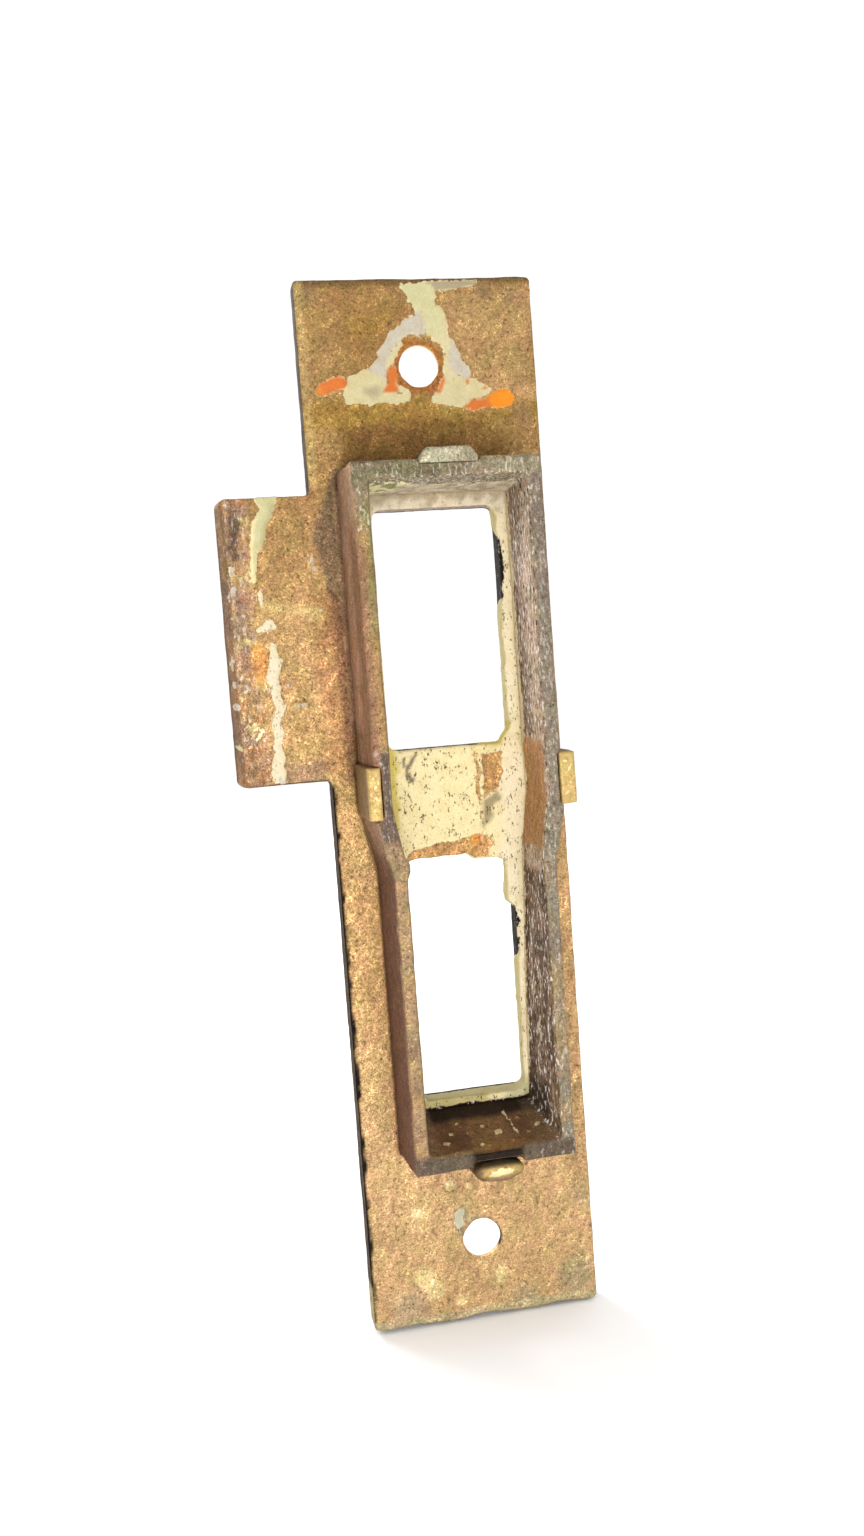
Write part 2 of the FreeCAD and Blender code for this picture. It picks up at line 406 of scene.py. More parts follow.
def paint_round_top_hole(skin, x, z, back):
    """Old paint round the upper screw hole: a blob, a stem, two arcs and two feet."""
    left_arc = patch(x, z, [
        (0.4, 60), (-0.3, 59.1), (-2.3, 58), (-4, 56.2), (-5.3, 53.8), (-6.4, 52.9), (-5.2, 52),
        (-4, 50.9), (-3.8, 52.4), (-3.9, 53.6), (-3.2, 55), (-2, 56.5), (-0.6, 57), (1.2, 56.8),
        (1.2, 59.2),
    ])
    right_arc = patch(x, z, [
        (3.7, 57), (5, 55), (5.8, 53.2), (6.5, 52), (5.4, 51.4), (4.5, 52.1), (3.7, 53.4), (3.7, 55.4),
    ])
    top_smear = patch(x, z, [(1.4, 63), (7.7, 63.1), (7.6, 62.4), (5.5, 62.1), (3.2, 61.8), (2, 62.2)])
    skin.coat([any_of(left_arc, right_arc), back], lilac_grey)
    skin.coat([top_smear, back], stain_grey)
    blob = any_of(
        dot(x, z, 0.9, 61.3, 1.75),
        patch(x, z, [(-1.5, 62.8), (2.2, 62.8), (2.4, 61), (-0.8, 61)]),
    )
    right_side = patch(x, z, [
        (0.5, 60.3), (3.2, 60.2), (3.8, 59.2), (3.8, 57.2), (4.1, 56), (3.8, 54.6), (3.9, 53.2), (4.5, 52.2),
        (5.4, 51.5), (6.6, 51.8), (8.8, 50.2), (8.2, 49.4), (6, 48.9), (5.2, 48.1), (3.2, 48.4), (1.2, 49),
        (1.5, 49.8), (2.4, 50.6), (3.1, 52), (3.3, 53.6), (3, 55.2), (2.2, 56.2), (1.2, 56.9), (0.9, 58.4),
    ])
    left_foot = patch(x, z, [
        (-8.8, 52.3), (-6.6, 53), (-5.2, 52.2), (-4.2, 51.6), (-3.9, 50.9), (-2.8, 50), (-1.4, 50),
        (-1.4, 49), (-4, 48.9), (-6.5, 48.9), (-9.1, 49.1), (-9.2, 50.6),
    ])
    beside_hole = stroke(x, z, [(-1.6, 56.3), (-2.9, 54.9), (-3.6, 53.6)], 0.35)
    below_hole = stroke(x, z, [(-2.6, 50.6), (-1.8, 49.9)], 0.4)
    skin.coat([any_of(right_side, left_foot, beside_hole, below_hole), back], cream_old)
    skin.coat([blob, back], cream_green)
    skin.tint(stroke(x, z, [(2.2, 59.6), (2.2, 57.6)], 0.9), cream_green, 0.4)
    skin.tint(stroke(x, z, [(-5.6, 50.3), (-6.4, 50.6)], [0.8, 0.5]), stain_grey, 0.5, 0.7)
    orange_left = stroke(x, z, [(-11.8, 50.8), (-9.7, 51.5)], [0.65, 0.85])
    orange_ring = patch(x, z, [
        (-3.9, 52.8), (-3, 53.8), (-2.8, 52.4), (-2.8, 50.3), (-4.6, 50.2), (-4.5, 50.7), (-3.9, 51),
    ])
    orange_right = patch(x, z, [
        (5.1, 48.2), (6.2, 49), (8, 49.2), (9.2, 50.1), (10.8, 50.2), (11.6, 49), (10.9, 48.3),
        (9.2, 47.9), (7.4, 48.1), (5.4, 47.9),
    ])
    dots = any_of(
        dot(x, z, 5.7, 51.3, 0.35),
        dot(x, z, 7.8, 50.5, 0.3),
        stroke(x, z, [(2.3, 50.3), (2.9, 51.6)], 0.25),
    )
    skin.coat([any_of(orange_left, orange_ring, dots), back], primer_red)
    skin.coat([orange_right, back], primer_red)
    skin.tint(stroke(x, z, [(9.2, 49), (10.8, 49.1)], 0.9), primer_bright, 0.3)
    skin.tint(dot(x, z, -12.2, 50.5, 0.6), primer_orange, 0.3)
    hole_gap = np.hypot(x, z - hole_height)
    skin.wash([band(hole_gap, 2.4, 3.4), back], rust_orange, 0.3, 0.8)
    bare_above = patch(x, z, [(-2.1, 56.3), (-0.6, 56.8), (1, 56.5), (1.5, 55.9), (0, 55.6), (-1.8, 55.8)])
    bare_below = patch(x, z, [(-1.3, 50.6), (1.2, 50.6), (1, 49.3), (-1.4, 49.2)])
    skin.bare(any_of(bare_above, bare_below, 2.95 - hole_gap))


def paint_on_lip(skin, x, z, back):
    """Two runs of cream paint, primer, specks and scratches on the lip."""
    upper_run = patch(x, z, [
        (-20.4, 38.9), (-18.1, 38.9), (-18.5, 37.2), (-19.2, 35.4), (-20.6, 32.2), (-21, 30.2), (-21.2, 28.8),
        (-21.9, 28.7), (-21.8, 31.5), (-21.6, 33.6), (-21, 36.2), (-20.3, 37.2),
    ])
    dabs = any_of(
        stroke(x, z, [(-21, 27.6), (-20.8, 26.5)], [0.35, 0.2]),
        stroke(x, z, [(-21.2, 23.6), (-20.2, 23.9)], [0.3, 0.65]),
    )
    lower_run = stroke(
        x, z,
        [(-20, 21.6), (-19.8, 19.6), (-20.2, 18), (-19.9, 16.4), (-19.9, 15), (-20, 13), (-20, 11),
         (-20.1, 9), (-20.5, 7.2), (-20.4, 6)],
        [0.3, 0.75, 0.6, 0.7, 0.65, 0.5, 0.45, 0.4, 0.75, 0.85],
    )
    skin.coat([upper_run, back], cream_green)
    skin.tint(stroke(x, z, [(-20.9, 36), (-21.6, 33), (-21.5, 29)], 0.3), cream, 0.25)
    skin.tint(stroke(x, z, [(-18.6, 37.6), (-19.9, 33.4)], 0.45), tone(178, 166, 118), 0.5, 0.6)
    skin.coat([any_of(dabs, lower_run) + 0.18 * skin.noise(0.9, 67), back], tone(238, 226, 194))
    skin.speckle([any_of(dabs, lower_run) + 0.2, back], 0.5, 0.15)
    primer = patch(x, z, [
        (-22.2, 21.9), (-20.4, 21.9), (-20.5, 19), (-20.7, 17.6), (-21.7, 17.4), (-22.3, 19.5),
    ])
    skin.wash([primer + 0.3 * skin.noise(0.9, 73), back], tone(232, 166, 98), 0.3, 0.8)
    specks = [
        (-24.1, 30.3, 0.35), (-23.9, 28.4, 0.4), (-24.4, 27.3, 0.35), (-23.8, 25.8, 0.3), (-22.8, 24.4, 0.25),
        (-24.8, 20.4, 0.3), (-24.8, 19.3, 0.25), (-24.8, 17.4, 0.3), (-23.9, 16.3, 0.35), (-23.2, 16.8, 0.25),
        (-24.8, 14.9, 0.3), (-14.6, 31.2, 0.25), (-14.4, 30.2, 0.2), (-18.5, 16.8, 0.2), (-17.6, 13.9, 0.25),
        (-16.9, 14, 0.18), (-16.6, 7.4, 0.25), (-14.1, 25.7, 0.25), (-20.2, 5.6, 0.3), (-12.9, 34.8, 0.15),
    ]
    crumbs = skin.noise(0.9, 63)
    for place_x, place_z, radius in specks:
        speck = stroke(x, z, [(place_x, place_z - radius), (place_x, place_z + radius)], radius)
        skin.coat([speck + 0.3 * crumbs - 0.16, back], tone(200, 190, 182))
    scratches = [
        ((-24.1, 12.2), (-23.2, 13.1), 0.13), ((-23.9, 10.9), (-22.3, 12.3), 0.12),
        ((-22.8, 10.5), (-21.4, 11.9), 0.16), ((-23.3, 12.3), (-22.6, 12.7), 0.12),
        ((-25, 10.2), (-24.7, 9.5), 0.15), ((-16.4, 25.2), (-14.6, 25), 0.05),
        ((-24.6, 25), (-23.6, 24.6), 0.06), ((-17.4, 7.5), (-16.3, 7.3), 0.10),
        ((-23, 11.2), (-22.2, 12), 0.10), ((-23.9, 9.6), (-23.3, 10.3), 0.08),
    ]
    for start, end, radius in scratches:
        skin.shine([stroke(x, z, [start, end], radius), back])
    glow = stroke(x, z, [(-20.4, 26), (-17.6, 25.6), (-14.4, 25)], [0.3, 0.5, 0.7])
    skin.wash([glow, back], brass_gold, 0.7, 0.55)


def paint_inside_box(skin, x, z, back):
    """Cream paint on the bridge and ledges inside the frame, with its worn and bare places, and painted light
    on its right ledge.
    """
    box = block(x, z, (-8.6, 9.9), (-36.6, 38.8))
    skin.coat([box, back], cream)
    skin.speckle([box, back, 35.5 - z], 0.85)
    skin.speckle([box, back], 0.2)
    # Painted light: the paint turns paler towards the right ledge, against the shade of the right wall
    skin.tint([box, x - 6.2], tone(252, 238, 208), 1.2, 0.7)
    skin.tint([box, z - 36], tone(236, 222, 200), 1.2, 0.85)
    skin.tint([box, z - 37.4 + 0.9 * skin.noise(1.2, 87)], tone(176, 160, 132), 0.6, 0.7)
    skin.tint([box, z - 35.6, 0.6 * skin.noise(0.8, 91) - 0.15], tone(168, 148, 116), 0.25, 0.45)
    skin.tint(block(x, z, (-9, -6.4), (-1.6, 9)) + 0.25 * skin.noise(1.2, 97), cream_yellow, 0.35)
    skin.tint(stroke(x, z, [(6.2, 8.1), (7.4, 8.4), (7.6, 10.5)], [0.5, 0.9, 0.4]), cream_yellow, 0.4, 0.9)
    skin.tint(block(x, z, (4.5, 10), (-40, -33.6)), cream_green, 0.6)
    patch_bare = patch(x, z, [
        (4.35, 6.8), (7, 6.9), (6.5, 5.6), (6.7, 4.3), (6.1, 2.2), (5, 2), (4.3, 1.4),
    ])
    strip_bare = patch(x, z, [
        (-5.6, -4.7), (-4.6, -4.15), (-2, -3.7), (0.4, -3.45), (1.8, -3.5), (2.5, -3), (3.3, -2.9),
        (4.6, -3.3), (5, -3.9), (4.7, -4.6), (5.4, -5.1), (2.5, -5.2), (1.9, -7), (-7, -7),
    ])
    worn = any_of(patch_bare, strip_bare)
    skin.wash(worn, tone(204, 158, 106), 0.4)
    skin.clean(worn, -0.25, 0.05)
    skin.wash(dot(x, z, 2.7, -3.4, 0.5), tone(236, 164, 84), 0.4)
    skin.bare(worn)
    beside_ridge = patch(x, z, [(3.5, 6.8), (3.85, 6.8), (3.85, -1.2), (3.6, -0.8), (3.35, 1.6)])
    skin.wash(beside_ridge, tone(190, 150, 100), 0.2)
    skin.clean(beside_ridge, -0.15, 0.05)
    skin.bare(beside_ridge)
    ridge = stroke(x, z, [(4.1, 6.9), (4, 1), (3.9, -1.4)], 0.14)
    skin.offset += 0.16 * ramp(ridge, -0.2, 0.1) * ramp(back, -0.2, 0.2)
    skin.paint_edge = np.maximum(skin.paint_edge, all_of(ridge, back, z - 1))
    dark_patch = patch(x, z, [(4.2, 1.2), (6, 1.8), (6.3, 1.2), (5.4, 0.3), (5.4, -1.2), (4, -1.8), (4.1, -0.2)])
    skin.tint(dark_patch + 0.5 * skin.noise(1, 89, 3, (1, 1, 1.6)), tone(132, 118, 84), 0.3, 0.75)
    strokes = any_of(
        stroke(x, z, [(-3.8, 7.5), (-4.3, 7.1), (-4.5, 6.3), (-4.9, 5.9)], 0.2),
        stroke(x, z, [(-5.5, 6.9), (-5.4, 6.2), (-5, 5.6)], 0.2),
        stroke(x, z, [(-5.2, 5.2), (-4.8, 4.5), (-4.3, 4.3)], [0.3, 0.36, 0.2]),
    )
    skin.tint(strokes, tone(136, 120, 100), 0.12)


def plate_patina(skin, x, z, back):
    """Brown, olive, gold and mauve parts of the plate's bare metal, a painted light falloff that darkens its
    top, and painted shadow and painted light beside the frame.
    """
    drift = skin.noise(5, 31)
    skin.wash(0.9 * drift, brass_pale, 1.2, 0.35)
    # Painted light falloff: browner metal towards the top and paler towards the bottom
    skin.wash(np.where(z > 0, z - 30, -20), brass_brown, 14, 0.45)
    skin.wash(-z - 28, brass_pale, 14, 0.7)
    skin.wash([band(z, 44.5, 62), band(x, -10, -3)], brass_brown, 3, 0.35)
    skin.wash(band(z, 46.3, 49.4) + 0.5 * drift, brass_olive, 1, 0.75)
    skin.wash(patch(x, z, [(-8, 58.5), (-2, 59.5), (-4, 57), (-9, 56)]), brass_olive, 1.5, 0.5)
    # Dark brown band on the plate just above the frame: partly sooty dirt, partly a painted shadow cast
    # upward by the frame
    shadow_and_soot = patch(x, z, [(-9.5, 46.2), (-4, 46.6), (2, 47), (8, 46.4), (10.5, 45), (10, 40), (-10, 40)])
    skin.wash(shadow_and_soot + 0.4 * drift, dark_brown, 1, 0.62)
    skin.wash([z - 62.6 + 0.3 * drift, back], tone(112, 88, 58), 0.4, 0.7)
    skin.wash(block(x, z, (3.5, 14.5), (48.5, 61.5)) + 0.8 * drift, tone(212, 174, 124), 2, 0.65)
    for place in [(-12.6, 61.8), (11.5, 61.3), (8.6, 61.8), (12.2, 47)]:
        skin.wash(dot(x, z, *place, 1.1) + 0.4 * drift, mauve, 1, 0.55)
    skin.wash(band(x, -14.2, -13.2) + band(z, 40, 70).clip(-5, 0), brass_gold, 0.35, 0.35)
    # Darker mauve-brown patch on the plate left of the frame's upper part, browner below Z 26
    dark_patch = patch(x, z, [
        (-11.4, 41.6), (-13.4, 36.5), (-14.2, 33.5), (-13.2, 30.6), (-12.8, 27), (-12.6, 22), (-12.3, 14),
        (-12.2, 5), (-6, 5), (-6, 41.6),
    ])
    skin.wash(dark_patch + 0.15 * drift, tone(146, 120, 94), 0.3)
    skin.wash([dark_patch, 26 - z], tone(146, 108, 82), 1.5, 0.85)
    # Painted light: the plate at the foot of the frame's lower left wall is lightened against the wall's
    # shade
    skin.wash(block(x, z, (-10, -8.6), (-41.4, -5)), tone(212, 162, 118), 0.5, 0.6)
    skin.wash(block(x, z, (-14.6, -11.9), (6, 27)) + 0.5 * drift, tone(190, 126, 88), 1, 0.35)
    # Painted light: the plate along the foot of the frame's upper left wall is lightened to soften the shade
    # there
    skin.wash(block(x, z, (-11.2, -9.8), (12, 39)), tone(206, 166, 134), 0.5, 0.75)
    # Painted shadow: dark brown on the plate at the foot of the frame's left wall, beside the left lug
    skin.wash([block(x, z, (-11.2, -10), (5, 10)) + 0.6 * drift, back], dark_brown, 0.5, 0.7)
    skin.wash(block(x, z, (-20, -14.4), (3, 7.4)), tone(176, 142, 116), 0.6, 0.75)
    skin.wash(dot(x, z, -9.6, -60.6, 2.2) + 0.5 * drift, tone(206, 184, 154), 1.2, 0.8)
    for place, radius in [((11.6, -59.6), 2.2), ((5, -61.5), 1.2), ((13.2, -49.5), 1)]:
        skin.wash(dot(x, z, *place, radius) + 0.5 * drift, stain_grey, 1.2, 0.7)
    highlights = [
        (-7.6, -57.2, 1.2), (-6.4, -58.8, 1.1), (2.3, -57.6, 0.5), (1.9, -58.6, 0.4), (-3.4, -45.8, 0.5),
        (-1.1, -46.4, 0.4), (4.6, -53.6, 0.4), (2.2, -46.9, 0.4), (-8, -49, 0.6), (-3.2, -60.8, 0.5),
    ]
    for place_x, place_z, radius in highlights:
        spot = dot(x, z, place_x, place_z, radius) + 0.35 * drift
        skin.wash([spot, back], tone(252, 228, 172), 0.5, 0.85)
    smear = stroke(x, z, [(-1, -50.4), (-2.3, -49.7), (-2.9, -50.8), (-3.1, -52)], [0.4, 0.8, 0.7, 0.35])
    crumbs = skin.noise(1, 103)
    skin.wash([smear + 0.4 * crumbs, back], tone(176, 166, 138), 0.4, 0.9)
    skin.coat([smear + 0.5 * crumbs - 0.25, back], tone(196, 192, 168))


def front_patina(skin, front):
    """Evenly tarnished front, brighter where the latch slides over the lip and round the screws."""
    x, z = skin.x, skin.z
    drift = skin.noise(6, 301)
    skin.wash(front, tone(184, 148, 92), 0.3)
    skin.wash([front, 0.8 * drift], tone(158, 120, 70), 1, 0.55)
    skin.wash([front, 0.8 * skin.noise(2.4, 311) - 0.35], tone(134, 104, 70), 0.4, 0.5)
    latch_path = all_of(front, block(x, z, (-25.4, -8.5), (9.5, 34.5)) + 0.8 * drift)
    skin.wash(latch_path, tone(222, 188, 128), 2, 0.55)
    hole_gap = np.hypot(x, np.abs(z) - hole_height)
    skin.wash([front, band(hole_gap, 4.2, 6.4) + 0.4 * drift], tone(214, 180, 122), 0.7, 0.5)
    skin.wash([normals_cone(skin), 4.6 - hole_gap], tone(120, 88, 54), 0.3, 0.7)
    left_edge = -13.6 - x - 30 * ramp(band(z, lip_low, lip_high), -0.2, 0.2)
    edges = any_of(band(hole_gap, 3.6, 4.3), left_edge, x - 13.6)
    skin.wash([front, edges], tone(118, 88, 54), 0.5, 0.6)
    for lean, start in ((5, -18), (-4, 6), (7, -44), (3, 44), (-6, 28), (2, -56)):
        line = stroke(x, z, [(-11, start), (12, start + lean)], 0.03)
        skin.shine([line + 0.05 * drift - 0.02, front])


def normals_cone(skin):
    """Positive on the slanting walls of the countersinks."""
    slope = skin.normals[:, 1]
    return all_of(slope - 0.3, 0.93 - slope)


def lip_patina(skin, x, z, drift):
    """The lip's end strip: dark red-brown and mauve oxide with gold specks."""
    strip = -21.6 - x + 0.35 * drift
    fine = skin.noise(1.3, 57)
    skin.wash(strip, tone(208, 166, 122), 0.5, 0.9)
    skin.wash([strip, 0.5 * fine], tone(184, 154, 138), 0.3, 0.8)
    skin.wash([strip, 0.6 * skin.noise(0.8, 59) - 0.35], tone(128, 100, 88), 0.2, 0.7)
    skin.wash([strip, 0.6 * skin.noise(1.6, 71) - 0.35], tone(206, 140, 88), 0.25, 0.8)
    skin.wash([strip, 0.6 * skin.noise(1.1, 83) - 0.35], brass_gold, 0.2, 0.7)
    skin.wash(stroke(x, z, [(-23.3, 36.4), (-23.4, 32.2)], 0.6) + 0.3 * fine, tone(118, 92, 82), 0.35, 0.9)
    skin.speckle([strip, x + 24.6], 0.3)
    skin.wash([-20.2 - x, band(z, 5, 9.5)], tone(170, 128, 98), 0.6, 0.6)


def pull_edge(skin, axis, place, amount, direction):
    """Slides the back's surface near an opening's edge into the opening, fading out over edge_reach."""
    from_edge = (skin.points[:, axis] - place) * direction
    near = ramp(-from_edge, -edge_reach, 0) * ramp(-skin.y, -3, -1)
    skin.shift[:, axis] -= direction * amount * near


def lumpy_openings(skin):
    """Paint lumps on the right sides of the openings and along the bridge."""
    x, y, z = skin.x, skin.y, skin.z
    ny = skin.normals[:, 1]
    side = 0.75 - np.abs(ny)
    rough = skin.noise(1.4, 91)
    right_half = ramp(x, 3, 4.4) * ramp(-x, -10.5, -9.5)
    top_part = ramp(band(z, 33.2, 37.5), -0.5, 0.5) * (0.28 + 0.22 * rough)
    long_part = ramp(band(z, 8.6, 24.8), -0.7, 0.7) * (0.30 + 0.16 * rough)
    pull_edge(skin, 0, latch_right, right_half * ramp(z, 6.5, 8) * (top_part + long_part), 1)
    lump = ramp(band(z, -11.9, -3), -0.6, 0.6) * (1 + 0.14 * rough)
    low_part = ramp(band(z, -37, -18.8), -0.5, 0.5) * (0.32 + 0.14 * rough)
    pull_edge(skin, 0, bolt_right, right_half * ramp(-z, 3.6, 5.4) * (lump + low_part), 1)
    hump = ramp(x, 1.5, 2.6) * ramp(-x, -8.2, -6.6)
    drop = (0.62 * hump + 0.1 * rough) * ramp(band(x, -6.2, 8.4), 0, 0.6)
    pull_edge(skin, 2, bolt_top, drop * ramp(z, -6.6, -5.8), 1)
    sag = (0.12 * rough - 0.1) * ramp(band(x, -6.2, 8.4), 0, 0.6)
    pull_edge(skin, 2, bolt_bottom, sag * ramp(-z, 33.4, 34.6), -1)
    cove = ramp(-np.hypot(x - 8.3, z - 7.9), -2, -0.2) * ramp(-y, -3, -1)
    skin.shift[:, 0] -= 0.75 * cove
    skin.shift[:, 2] += 0.6 * cove
    side_face = all_of(side, x - 3, 3.3 - y + 0.4 * rough)
    heights = any_of(band(z, 33.3, 36), band(z, 7.6, 24.9), band(z, -12, -5), band(z, -35.2, -18.6))
    worn_upper = all_of(8.42 - x + 0.35 * rough, band(z, 25.4, 32.4) + 0.3 * rough)
    worn_lower = all_of(7.38 - x + 0.3 * rough, band(z, -18, -12.2) + 0.3 * rough)
    worn = all_of(any_of(worn_upper, worn_lower), -ny - 0.3, x - 5)
    skin.bare(worn)
    # The bare edges go near black: partly their dark bare metal, partly painted shade of the openings' side
    # walls
    skin.wash(worn + 0.1, near_black, 0.15)
    ragged_ends = heights + 0.6 * rough + 0.55 * (1.2 - y)
    skin.coat([side_face, ragged_ends, 4 - np.abs(x - 8)], tone(226, 212, 158))
    skin.tint([side_face, band(z, 7, 10.5)], cream_yellow, 0.5)
    bridge_lower = all_of(side, band(z, -6.8, -4.6), x - 1.7, 8 - x)
    skin.coat(bridge_lower, cream)
    sill = all_of(side, band(z, -35.9, -33.8), band(x, -7, 8), 2.4 - y)
    skin.coat(sill, tone(206, 193, 146))
    skin.tint([band(z, -36, -34.7), band(x, -8, 2), 0.5 - y], tone(176, 164, 96), 0.5, 0.7)


def make_plate():
    """Strike plate: its patina, paint, painted shade and painted light, pulled opening edges, worn holes and
    casting texture.
    """
    piece = dense_copy("strike_plate", "plate_casting", plate_voxel)
    skin = Skin(piece, "strike_plate")
    wander = skin.noise(1.6, 5, 2)
    x = skin.x + edge_wander * wander
    z = skin.z + edge_wander * skin.noise(1.6, 9, 2)
    ny = skin.normals[:, 1]
    back = -ny - 0.35
    front = ny - 0.5
    drift = skin.noise(2.2, 41)
    plate_patina(skin, x, z, back)
    lip_patina(skin, x, z, drift)
    front_patina(skin, front)
    # Painted shade: the plate's side faces, outer edges and hole and opening walls alike, darkened towards
    # black
    side = 0.55 - np.abs(ny)
    skin.wash(side, side_shade, 0.2, 0.9)
    skin.wash([side, 0.5 * drift - 0.1], near_black, 0.3, 0.8)
    lip_end = all_of(0.80 - np.abs(ny), -23.5 - skin.x)
    skin.wash(lip_end, tone(176, 134, 96), 0.15)
    skin.wash([lip_end, 0.6 * drift - 0.1], tone(150, 118, 98), 0.3, 0.8)
    skin.wash(-25.2 - skin.x, tone(110, 76, 50), 0.15, 0.8)
    hole_gap = np.hypot(skin.x, np.abs(skin.z) - hole_height)
    hole_wall = all_of(side, 3.2 - hole_gap, 1.9 - skin.y)
    skin.wash(hole_wall, shaded(200, 168, 122), 0.2)
    # Painted shade: near black on the upper right wall of the lower screw hole
    hole_shade_arc = all_of(hole_wall, skin.x + skin.z + 52.6 + 0.3 * drift, -skin.z)
    skin.wash(hole_shade_arc, near_black, 0.4)
    # Painted shade: a near black band, bared of paint, in the crease at the foot of the frame's bottom wall
    crease = all_of(back, block(skin.x, skin.z, (-8, 9.5), (-38, -35.75)) + 0.25 * drift)
    # Painted shade on the openings' side walls inside the box, partly their own dark bare metal; lighter at
    # the top of the latch opening
    inner_side = all_of(side, block(skin.x, skin.z, (-9, 10), (-37, 39)))
    skin.wash(inner_side, near_black, 0.2, 0.8)
    skin.wash([inner_side, skin.z - 36, 2.2 - skin.y], tone(176, 146, 128), 0.25)
    gold_edge = all_of(side + 0.2, band(skin.x, -14.5, -13.9), band(skin.z, -64, -57.5))
    # Painted shade: near black along the back's left edge below Z 4.5, carrying on the dark of the left side
    # face
    dark_edge = all_of(back, -13.85 - skin.x + 0.22 * skin.noise(1.5, 43), 4.5 - skin.z)
    skin.wash(dark_edge, near_black, 0.15)
    skin.wash(gold_edge, brass_gold, 0.6, 0.8)
    skin.wash(all_of(back, x - 11.6, -z, z + 50) + 0.3 * drift, tone(196, 160, 118), 0.6, 0.6)
    bottom_bevel = all_of(-62.1 - skin.z + 0.2 * drift, back + 0.35)
    skin.wash(bottom_bevel, tone(208, 194, 158), 0.25, 0.8)
    paint_round_top_hole(skin, x, z, back)
    paint_on_lip(skin, x, z, back)
    paint_inside_box(skin, x, z, back)
    lumpy_openings(skin)
    # Painted shade in the crease at the foot of the frame's bottom wall
    skin.bare(crease)
    skin.wash(crease, near_black, 0.2)
    for hole_z in (hole_height, -hole_height):
        out_x, out_z = skin.x, skin.z - hole_z
        gap = np.hypot(out_x, out_z)
        pull = hole_lip * ramp(-gap, -4.6, -2.4) * ramp(-skin.y, -1.4, -0.4) / np.maximum(gap, 1)
        skin.shift[:, 0] -= out_x * pull
        skin.shift[:, 2] -= out_z * pull
    cast_relief(skin, 101)
    lumps = [(-3.5, -45.8, 0.9), (-1.1, -46.2, 0.8), (2, -46.6, 0.7), (4.8, -46, 0.8), (-5.4, -45, 0.6)]
    for place_x, place_z, radius in lumps:
        skin.offset += 0.35 * ramp(dot(x, z, place_x, place_z, radius), -0.5, 0.6) * ramp(back, -0.2, 0.2)
    rise = (0.35 - 0.018 * skin.x + 0.22 * skin.noise(5, 77)) * ramp(-skin.z, 61, 63.2)
    skin.shift[:, 2] += np.maximum(rise, 0)
    skin.finish()
    return piece


# ---- box frame

